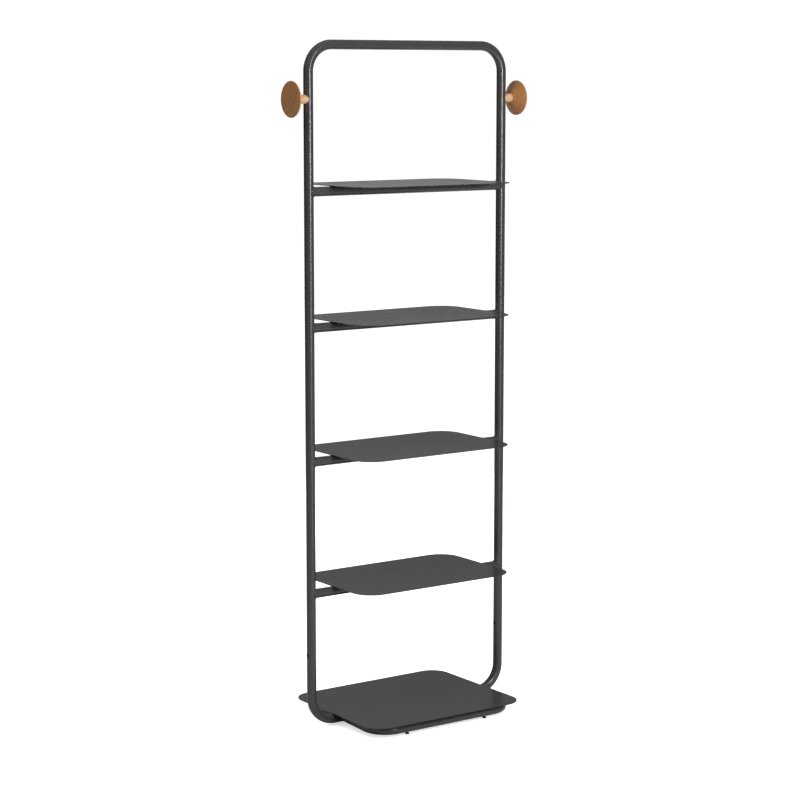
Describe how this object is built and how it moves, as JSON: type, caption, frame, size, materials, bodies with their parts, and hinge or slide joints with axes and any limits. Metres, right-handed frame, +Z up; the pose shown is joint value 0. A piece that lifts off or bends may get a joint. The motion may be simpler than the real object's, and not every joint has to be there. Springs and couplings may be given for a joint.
{
  "type": "ladder shelf",
  "caption": "Free-standing ladder shelf: round steel tube hoop, thin sheet shelves on crossbars, deeper base plate on tube loops with screw glides, turned wooden coat knobs.",
  "frame": {"origin": "on the floor, midway between the two posts, in the plane of the hoop", "axes": "+X from the left post to the right post, -Y to the front, +Z up"},
  "size_m": [0.7358, 0.4102, 1.818],
  "materials": {
    "coated_steel": "satin charcoal powder coat with a fine texture",
    "black_steel": "black oxide screw steel",
    "zinc_steel": "dull zinc plate",
    "black_nylon": "moulded black nylon",
    "brown_wood": "turned, stained and matt oiled",
    "pale_wood": "turned dowel, matt oiled"
  },
  "bodies": {
    "frame": {"back_base_loop": "coated_steel", "base_plate": "coated_steel", "crossbar_1": "coated_steel", "crossbar_2": "coated_steel", "crossbar_3": "coated_steel", "crossbar_4": "coated_steel", "front_base_loop": "coated_steel", "glide_bushes": "zinc_steel", "joint_barrel_nuts": "black_steel", "joint_bolts": "black_steel", "knob_bushes": "zinc_steel", "knob_studs": "zinc_steel", "left_knob_disc": "brown_wood", "left_knob_stem": "pale_wood", "left_spigot": "zinc_steel", "lower_hoop": "coated_steel", "right_knob_disc": "brown_wood", "right_knob_stem": "pale_wood", "right_spigot": "zinc_steel", "shelf_1": "coated_steel", "shelf_2": "coated_steel", "shelf_3": "coated_steel", "shelf_4": "coated_steel", "stud_nuts": "zinc_steel", "stud_washers": "zinc_steel", "upper_hoop": "coated_steel", "weld_studs": "zinc_steel"},
    "front_left_glide": {"front_left_glide_foot": "black_nylon", "front_left_glide_stem": "zinc_steel"},
    "front_right_glide": {"front_right_glide_foot": "black_nylon", "front_right_glide_stem": "zinc_steel"},
    "back_left_glide": {"back_left_glide_foot": "black_nylon", "back_left_glide_stem": "zinc_steel"},
    "back_right_glide": {"back_right_glide_foot": "black_nylon", "back_right_glide_stem": "zinc_steel"}
  },
  "joints": [
    {"name": "front_left_glide_screw", "type": "slide", "parent": "frame", "child": "front_left_glide", "axis": [0, 0, -1], "range_m": [-0.0013, 0.008]},
    {"name": "front_right_glide_screw", "type": "slide", "parent": "frame", "child": "front_right_glide", "axis": [0, 0, -1], "range_m": [-0.0013, 0.008]},
    {"name": "back_left_glide_screw", "type": "slide", "parent": "frame", "child": "back_left_glide", "axis": [0, 0, -1], "range_m": [-0.0013, 0.008]},
    {"name": "back_right_glide_screw", "type": "slide", "parent": "frame", "child": "back_right_glide", "axis": [0, 0, -1], "range_m": [-0.0013, 0.008]}
  ]
}
